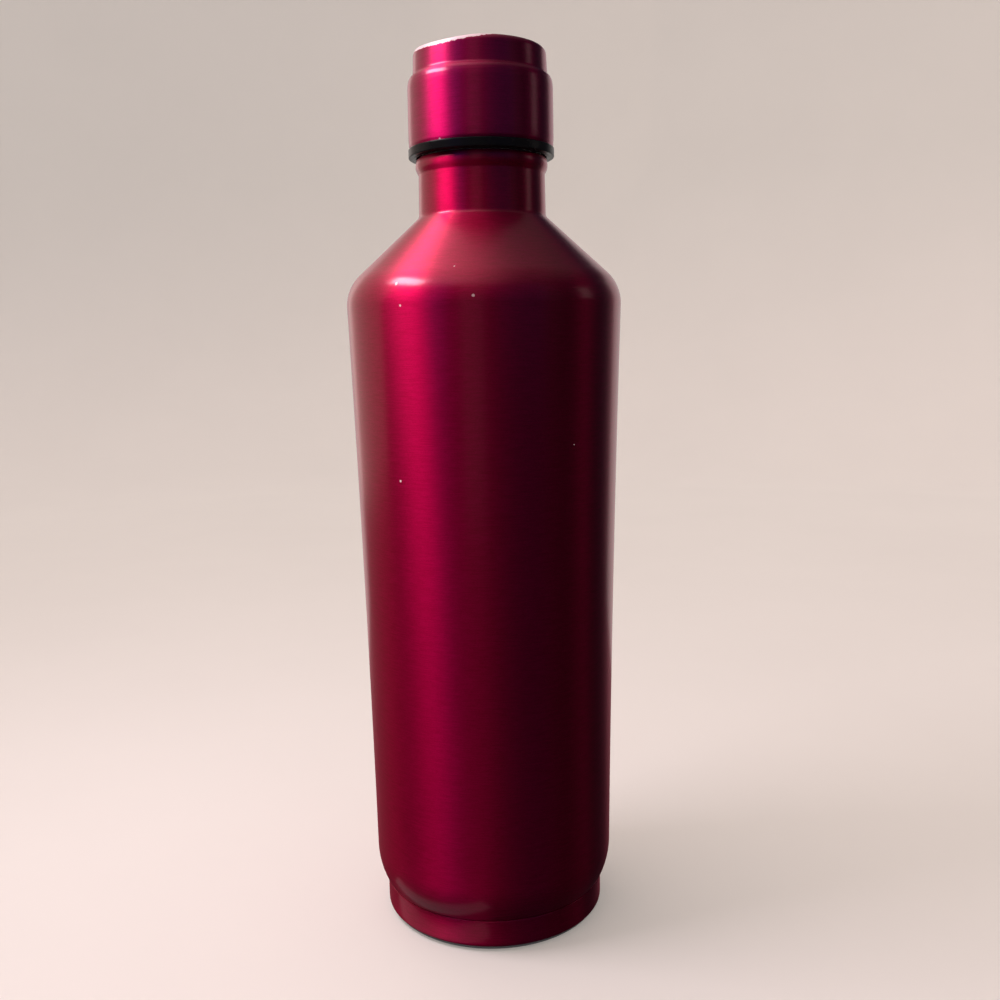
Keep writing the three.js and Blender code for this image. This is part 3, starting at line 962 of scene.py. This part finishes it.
@dataclass
class Base(SubAssembly):
    """The foot ring with its floor, and the pad that the bottle stands on."""

    body: str = "bottle"
    wall: float = 0.7
    floor: float = 4.0
    floor_wall: float = 0.9
    dimple_radius: float = 5.2
    dimple_rise: float = 1.6
    hole_radius: float = 1.0
    grooves: int = 3

    def build(self) -> None:
        """Builds the foot ring and the pad, and dresses what is hidden between them."""
        self._foot_ring()
        self._pad()
        self.dress("base_cover", BARE_STEEL)
        self.dress("base_adhesive", ADHESIVE)
        self.dress("exhaust_bead", SEAL_GLASS)

    def _foot_ring(self) -> None:
        """The lacquered foot, whose floor closes the vacuum."""
        low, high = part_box("outer_base")
        radius, top, bottom = high.x / MM, high.z / MM, low.z / MM
        skirt = radius - self.wall
        floor_top = self.floor + self.floor_wall
        outline = rounded([
            (self.hole_radius, self.floor + self.dimple_rise),
            (self.dimple_radius, self.floor + self.dimple_rise),
            (self.dimple_radius + 0.8, self.floor),
            (skirt - 0.2, self.floor),
            (skirt - 0.2, bottom),
            (radius - 0.6, bottom),
            (radius - 0.1, bottom + 0.5),
            (radius, bottom + 1.3),
            (radius, top),
            (skirt, top),
            (skirt, floor_top),
            (self.dimple_radius + 1.4, floor_top),
            (self.dimple_radius + 0.6, floor_top + self.dimple_rise),
            (self.hole_radius, floor_top + self.dimple_rise),
        ], 0.35)
        bm = turned(outline, Form.RING)
        self.add("foot_ring", bm, FOOT_LACQUER, self.body, "outer_base", sharp=50)

    def _pad(self) -> None:
        """The rubber pad, with round grooves in its underside."""
        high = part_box("non_slip_pad")[1]
        radius, top = high.x / MM, high.z / MM
        outline: Outline = [(0, 0)]
        for i in range(self.grooves):
            middle = radius * (i + 1) / (self.grooves + 1)
            outline += [(middle - 1, 0), (middle - 0.7, 0.4), (middle + 0.7, 0.4), (middle + 1, 0)]
        outline += [(radius - 0.7, 0), (radius, 0.6), (radius, top), (0, top)]
        bm = turned(rounded(outline, 0.3), Form.ON_AXIS)
        self.add("rubber_pad", bm, BLACK_RUBBER, self.body, "non_slip_pad")


@dataclass
class Cap(SubAssembly):
    """The screw cap: lacquered shell, black core with its ring and thread, plug and gasket."""

    body: str = "cap"
    wall: float = 0.5
    edge_round: float = 2.0
    top_radius: float = 21.35
    skirt_bottom: float = 258.1
    step_top: float = 280.2
    ring_bottom: float = 255.2
    ring_top: float = 258.0
    bore_radius: float = 21.05
    core_radius: float = 22.3
    plate_bottom: float = 275.45
    plug_wall: float = 1.2
    knock_azimuth: float = -38.0
    knock_half_width: float = 42.0
    knock_depth: float = 0.85
    knock_inner: float = 17.0  # radius where the knock begins
    knock_reach: float = 3.5  # how far out from there it becomes full
    knock_height: float = 3.0  # how far below the top it fades out
    thread_start: float = 258.5 - 1.85 + 1.5
    thread_turns: float = 1.3

    def __post_init__(self) -> None:
        """Takes the overall sizes from the frame."""
        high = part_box("cap_shell")[1]
        low_core, high_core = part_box("cap_core")
        self.skirt_radius = high.x / MM
        self.top = high.z / MM
        self.ring_radius = high_core.x / MM
        self.lip_bottom = low_core.z / MM
        self.plate_top = high_core.z / MM

    def side(self, inset: float) -> Outline:
        """The cap's side from the rolled-in lower edge to the middle of the top.

        Args:
            inset: How far inside the lacquered surface the wall lies.

        Returns:
            The outline, from the lower edge to the axis.
        """
        skirt, bottom = self.skirt_radius, self.skirt_bottom
        step = self.step_top
        lift = 0.4 * inset
        corners = [
            (skirt - 0.5 - 0.7 * inset, bottom),
            (skirt - 0.15 - inset, bottom + 0.7),
            (skirt - inset, bottom + 3),
            (skirt - 0.02 - inset, bottom + 10),
        ]
        shoulder = [
            (skirt - 0.08, step - 3.8),
            (skirt - 0.2, step - 2.4),
            (skirt - 0.42, step - 1.4),
            (skirt - 0.75, step - 0.75),
            (skirt - 1.2, step - 0.3),
            (skirt - 1.65, step - 0.05),
            (skirt - 1.8, step + 0.15),
            (skirt - 1.88, step + 0.6),
            (skirt - 2.0, step + 3),
        ]
        centre = (self.top_radius - self.edge_round, self.top - self.edge_round)
        edge = arc(centre, self.edge_round - inset, 0, 90, 10)
        return [
            *rounded(corners, 0.5),
            *[(radius - inset, height - lift) for radius, height in shoulder],
            *edge,
            (self.top_radius * 0.45, self.top - inset),
            (0, self.top - inset),
        ]

    def build(self) -> None:
        """Builds the shell, core, plug and gasket, and dresses what is sealed inside."""
        shell = turned(self.side(self.wall)[::-1] + self.side(0), Form.ON_AXIS)
        self._knock(shell)
        self.add("lacquered_cap", shell, CAP_LACQUER_WITH_PAINTED_BLUE, self.body, "cap_shell", sharp=35)
        self._core()
        self._plug()
        self._gasket()
        self.dress("cap_foam", FOAM)
        self.dress("plug_foam", FOAM)
        self.dress("cap_bond", ADHESIVE)

    def _knock(self, bm: bmesh.types.BMesh) -> None:
        """Beats the upper edge down a little on one side, where the cap has been dropped.

        Args:
            bm: The cap's shell, changed in place.
        """
        for vert in bm.verts:
            azimuth = math.degrees(math.atan2(vert.co.x, -vert.co.y))
            near = max(0.0, 1 - abs(azimuth - self.knock_azimuth) / self.knock_half_width)
            radius = math.hypot(vert.co.x, vert.co.y) / MM
            edge = min(1.0, max(0.0, (radius - self.knock_inner) / self.knock_reach))
            high = max(0.0, vert.co.z / MM - self.top + self.knock_height) / self.knock_height
            vert.co.z -= self.knock_depth * MM * near * near * (3 - 2 * near) * edge * high

    def _core(self) -> None:
        """The black core: ring under the skirt, threaded wall and plate."""
        corners = [
            (0, self.plate_bottom),
            (self.bore_radius, self.plate_bottom),
            (self.bore_radius, self.lip_bottom),
            (self.bore_radius + 0.85, self.lip_bottom),
            (self.bore_radius + 1, self.ring_bottom),
            (self.ring_radius, self.ring_bottom),
            (self.ring_radius, self.ring_top),
            (self.core_radius, self.ring_top),
            (self.core_radius, self.plate_top),
            (0, self.plate_top),
        ]
        wall = turned(laddered(rounded(corners, 0.35)), Form.ON_AXIS)
        crest = self.bore_radius - THREAD_DEPTH
        ridge = Thread(
            self.bore_radius, crest, self.thread_start, self.thread_turns, start_azimuth=180.0
        )
        bm = fused(wall, ridge.mesh())
        self.add("black_core", bm, BLACK_PLASTIC, self.body, "cap_core", sharp=30)

    def _plug(self) -> None:
        """The hollow plug and the steel disc on its underside."""
        low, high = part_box("plug_cup")
        radius, bottom, top = high.x / MM, low.z / MM, high.z / MM
        bore, floor = radius - self.plug_wall, bottom + self.plug_wall
        cup = rounded([
            (0, bottom), (radius, bottom), (radius, top), (bore, top), (bore, floor), (0, floor)
        ], 0.5)
        self.add("plug_bowl", turned(cup, Form.ON_AXIS, 96), WHITE_PLASTIC, self.body, "plug_cup")
        low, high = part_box("plug_disc")
        radius, bottom, top = high.x / MM, low.z / MM, high.z / MM
        disc = rounded([
            (0, bottom), (radius - 0.4, bottom), (radius, bottom + 0.4), (radius, top), (0, top)
        ], 0.2)
        self.add("plug_plate", turned(disc, Form.ON_AXIS, 96), BARE_STEEL, self.body, "plug_disc")

    def _gasket(self) -> None:
        """The silicone ring between the lip and the plate."""
        low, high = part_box("gasket")
        outer, bottom, top = high.x / MM, low.z / MM, high.z / MM
        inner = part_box("plug_cup")[1].x / MM + 0.25
        middle = (bottom + top) / 2
        corners = [
            (inner, middle), (inner, bottom), (outer, bottom), (outer, top), (inner, top),
            (inner, middle + 0.01),
        ]
        bm = turned(rounded(corners, 0.4), Form.RING, 96)
        self.add("lip_gasket", bm, SILICONE, "seal", "gasket")


@dataclass
class VacuumSpace(SubAssembly):
    """What is sealed between the walls."""

    body: str = "bottle"

    def build(self) -> None:
        """Dresses the foil, the getter and its strap."""
        self.dress("copper_foil", COPPER)
        self.dress("getter_pill", GETTER_ALLOY)
        self.dress("getter_strap", BARE_STEEL)


# ------------------------------------------------------------------ studio


@dataclass(frozen=True)
class SoftBox:
    """A rectangular light that stands round the bottle and faces it."""

    title: str
    azimuth: float  # degrees from the front, positive to the right
    distance: float  # metres from the axis
    height: float  # metres, of its middle
    width: float
    tall: float
    radiance: float  # brightness of its face
    tint: Colour = (1.0, 1.0, 1.0)
    target: float = 0.17  # height on the axis that it faces, in metres

    def place(self) -> None:
        """Makes the light."""
        data = bpy.data.lights.new(self.title, "AREA")
        data.shape, data.size, data.size_y = "RECTANGLE", self.width, self.tall
        data.energy = self.radiance * math.pi * self.width * self.tall
        data.color = self.tint
        lamp = bpy.data.objects.new(self.title, data)
        angle = math.radians(self.azimuth)
        across, back = self.distance * math.sin(angle), -self.distance * math.cos(angle)
        lamp.location = (across, back, self.height)
        facing = Vector((0, 0, self.target)) - lamp.location
        lamp.rotation_euler = facing.to_track_quat("-Z", "Y").to_euler()
        lamp.visible_camera = False
        bpy.context.scene.collection.objects.link(lamp)


@dataclass
class Studio:
    """Camera, lights, and a pale floor that rises into a pale wall all round."""

    lens: float = 37.99
    camera_place: tuple[float, float, float] = (0.0, -0.3555, 0.1962)
    pitch: float = 8.497  # degrees below the horizon
    yaw: float = 0.671  # degrees to the right
    roll: float = 0.963
    floor_radius: float = 1.1
    sweep_radius: float = 0.5
    wall_top: float = 2.6
    stage_tint: Colour = (0.62, 0.6, 0.57)
    stage_glow: float = 0.3

    def build(self) -> None:
        """Builds the whole studio."""
        self._camera()
        self._stage()
        self._lights()
        self._world()

    def _camera(self) -> None:
        """The camera, in front of the bottle and a little above its middle."""
        data = bpy.data.cameras.new("camera")
        data.lens, data.sensor_width, data.clip_start = self.lens, 36.0, 0.01
        camera = bpy.data.objects.new("camera", data)
        turn = Matrix.Rotation(math.radians(-self.yaw), 4, "Z")
        tilt = Matrix.Rotation(math.radians(90 - self.pitch), 4, "X")
        spin = Matrix.Rotation(math.radians(-self.roll), 4, "Z")
        camera.matrix_world = Matrix.Translation(self.camera_place) @ turn @ tilt @ spin
        bpy.context.scene.collection.objects.link(camera)
        bpy.context.scene.camera = camera

    def _stage(self) -> None:
        """The floor and wall. They take shadows, but show in no reflection and cast none."""
        floor, bend = self.floor_radius / MM, self.sweep_radius / MM
        sweep = arc((floor, bend), bend, -90, 0, 24)
        wall = (floor + bend, self.wall_top / MM)
        outline = [(0.0, 0.0), (250.0, 0.0), (floor * 0.6, 0.0), *sweep, wall]
        bm = bmesh.new()
        verts = [bm.verts.new((0.0, -r * MM, h * MM)) for r, h in outline]
        edges = [bm.edges.new(pair) for pair in zip(verts, verts[1:])]
        bmesh.ops.spin(bm, geom=verts + edges, axis=(0, 0, 1), angle=TURN, steps=96, use_merge=True)
        bmesh.ops.remove_doubles(bm, verts=bm.verts, dist=1e-6)
        bmesh.ops.recalc_face_normals(bm, faces=bm.faces)
        mesh = bpy.data.meshes.new("stage")
        bm.to_mesh(mesh)
        bm.free()
        mesh.shade_smooth()
        material = bpy.data.materials.new("pale_stage")
        material.use_nodes = True
        graph = Graph(material.node_tree)
        cloud = graph.noise(graph.place(), 6, detail=4)
        tint = graph.mix(cloud, tuple(c * 0.95 for c in self.stage_tint), self.stage_tint)
        graph.surface({
            "Base Color": tint,
            "Roughness": 0.8,
            "Specular IOR Level": 0.2,
            "Emission Color": tint,
            "Emission Strength": self.stage_glow,
        })
        mesh.materials.append(material)
        stage = bpy.data.objects.new("stage", mesh)
        stage.visible_glossy = False
        stage.visible_shadow = False
        bpy.context.scene.collection.objects.link(stage)

    def _lights(self) -> None:
        """A small bright lamp close on the left, broad soft cards round it, and dim ones opposite."""
        boxes = (
            SoftBox("lamp", -77, 0.26, 0.44, 0.17, 0.07, 28.5, (1.0, 0.85, 0.94)),
            SoftBox("left_card", -122, 2.0, 1.2, 2.9, 3.4, 0.75, (1.0, 0.8, 0.68)),
            SoftBox("violet_strip", -41, 2.0, 1.0, 0.7, 2.2, 0.45, (0.1, 0.13, 1.0)),
            SoftBox("front_strip", -10, 2.0, 0.7, 0.72, 2.2, 0.17, (0.85, 1.0, 1.0)),
            SoftBox("right_dim", 30, 2.0, 0.9, 1.7, 1.8, 0.12, (0.2, 0.3, 1.0)),
            SoftBox("right_strip", 57, 2.0, 0.9, 0.6, 1.6, 0.06, (1.0, 0.8, 0.85)),
            SoftBox("right_glint", 92, 1.6, 0.65, 0.3, 0.5, 0.8, (1.0, 0.85, 0.8)),
            SoftBox("back_card", 176, 2.2, 0.3, 3.8, 1.9, 0.68, (1.0, 0.93, 0.87)),
            SoftBox("table_glow", -44, 0.0445, -0.002, 0.07, 0.01, 0.34, (1.0, 0.95, 0.95)),
        )
        for box in boxes:
            box.place()

    def _world(self) -> None:
        """A dim room, darker below, under a ceiling that is bright on the left."""
        world = bpy.data.worlds.new("room")
        world.use_nodes = True
        bpy.context.scene.world = world
        graph = Graph(world.node_tree)
        right, _, up = graph.axes(graph.wire(graph.node("ShaderNodeTexCoord"), "Generated"))
        air = graph.mix(graph.smooth(up, -0.5, 0.3), (0.018, 0.012, 0.014), (0.024, 0.022, 0.045))
        ceiling = graph.mix(graph.smooth(right, 0.45, -0.55), (0.22, 0.18, 0.18), (2.1, 1.65, 1.6))
        light = graph.mix(graph.smooth(up, 0.55, 0.88), air, ceiling)
        dim = graph.node("ShaderNodeBackground", None, {"Color": light, "Strength": 1.0})
        graph.node("ShaderNodeOutputWorld", None, {"Surface": graph.wire(dim)})
        bpy.context.scene.view_settings.view_transform = "Standard"


def write_sizes() -> None:
    """Updates the view layer."""
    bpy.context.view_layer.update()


def main() -> None:
    """Builds the bottle, then the studio."""
    logging.basicConfig(level=logging.INFO, format="%(name)s: %(message)s")
    for part in (Flask(), Base(), Cap(), VacuumSpace()):
        part.build()
    Studio().build()
    write_sizes()


if __name__ == "__main__":
    main()
